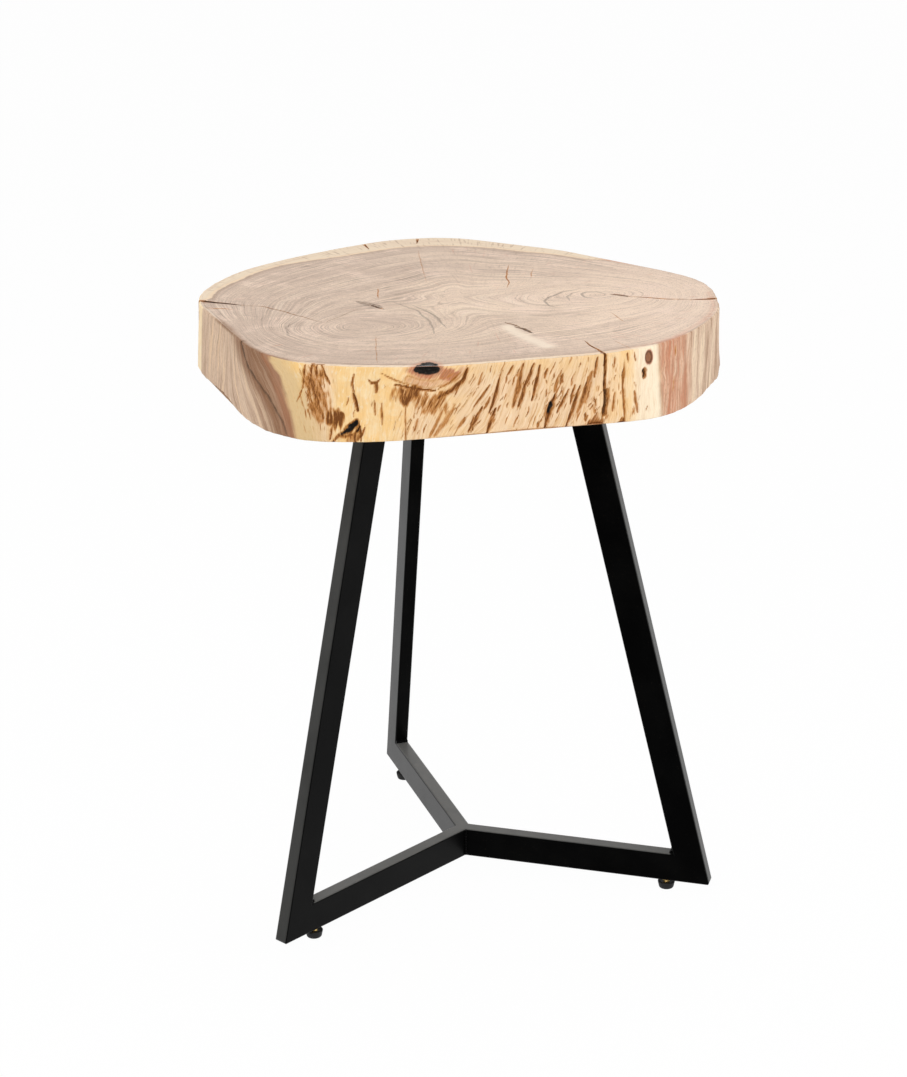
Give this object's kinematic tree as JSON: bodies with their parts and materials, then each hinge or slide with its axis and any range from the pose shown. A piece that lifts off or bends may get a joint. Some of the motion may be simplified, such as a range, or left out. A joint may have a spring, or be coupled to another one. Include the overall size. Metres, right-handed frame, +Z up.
{
  "type": "tree slice side table",
  "caption": "Side table with a live-edge slice of tree trunk as its top, on a welded frame of flat steel tube V legs that meet at a hub, with screw-in levelling feet.",
  "frame": {"origin": "on the floor, under the middle of the slice, where the base bars meet", "axes": "+Z up, +Y to the back, +X to the right seen from the front"},
  "size_m": [0.4173, 0.4242, 0.5],
  "materials": {
    "wood": "satin oiled end grain",
    "frame_coat": "satin black powder coat",
    "screw_steel": "bright zinc plated steel",
    "yellow_zinc": "yellow passivated zinc on steel",
    "pad_plastic": "moulded black plastic"
  },
  "bodies": {
    "table": {"slab_top": "wood", "centre_weld": "frame_coat", "plate_screws": "screw_steel", "thread_bushes": "screw_steel", "leg_left": "frame_coat", "leg_right": "frame_coat", "leg_rear": "frame_coat", "base_bar_left": "frame_coat", "base_bar_right": "frame_coat", "base_bar_rear": "frame_coat", "corner_weld_left": "frame_coat", "corner_weld_right": "frame_coat", "corner_weld_rear": "frame_coat", "plate_weld_left": "frame_coat", "plate_weld_right": "frame_coat", "plate_weld_rear": "frame_coat", "mounting_plate_left": "frame_coat", "mounting_plate_right": "frame_coat", "mounting_plate_rear": "frame_coat"},
    "left_pad": {"foot_pad_left": "pad_plastic"},
    "left_stud": {"foot_stud_left": "yellow_zinc"},
    "right_pad": {"foot_pad_right": "pad_plastic"},
    "right_stud": {"foot_stud_right": "yellow_zinc"},
    "rear_pad": {"foot_pad_rear": "pad_plastic"},
    "rear_stud": {"foot_stud_rear": "yellow_zinc"}
  },
  "joints": [
    {"name": "left_foot_travel", "type": "slide", "parent": "table", "child": "left_stud", "axis": [0, 0, -1], "range_m": [-0.002, 0.01]},
    {"name": "left_pad_swivel", "type": "hinge", "parent": "left_stud", "child": "left_pad", "pos_m": [-0.12253, -0.12912, 0.003], "axis": [0, 0, 1], "continuous": true},
    {"name": "right_foot_travel", "type": "slide", "parent": "table", "child": "right_stud", "axis": [0, 0, -1], "range_m": [-0.002, 0.01]},
    {"name": "right_pad_swivel", "type": "hinge", "parent": "right_stud", "child": "right_pad", "pos_m": [0.17022, -0.05204, 0.003], "axis": [0, 0, 1], "continuous": true},
    {"name": "rear_foot_travel", "type": "slide", "parent": "table", "child": "rear_stud", "axis": [0, 0, -1], "range_m": [-0.002, 0.01]},
    {"name": "rear_pad_swivel", "type": "hinge", "parent": "rear_stud", "child": "rear_pad", "pos_m": [-0.05353, 0.16976, 0.003], "axis": [0, 0, 1], "continuous": true}
  ]
}
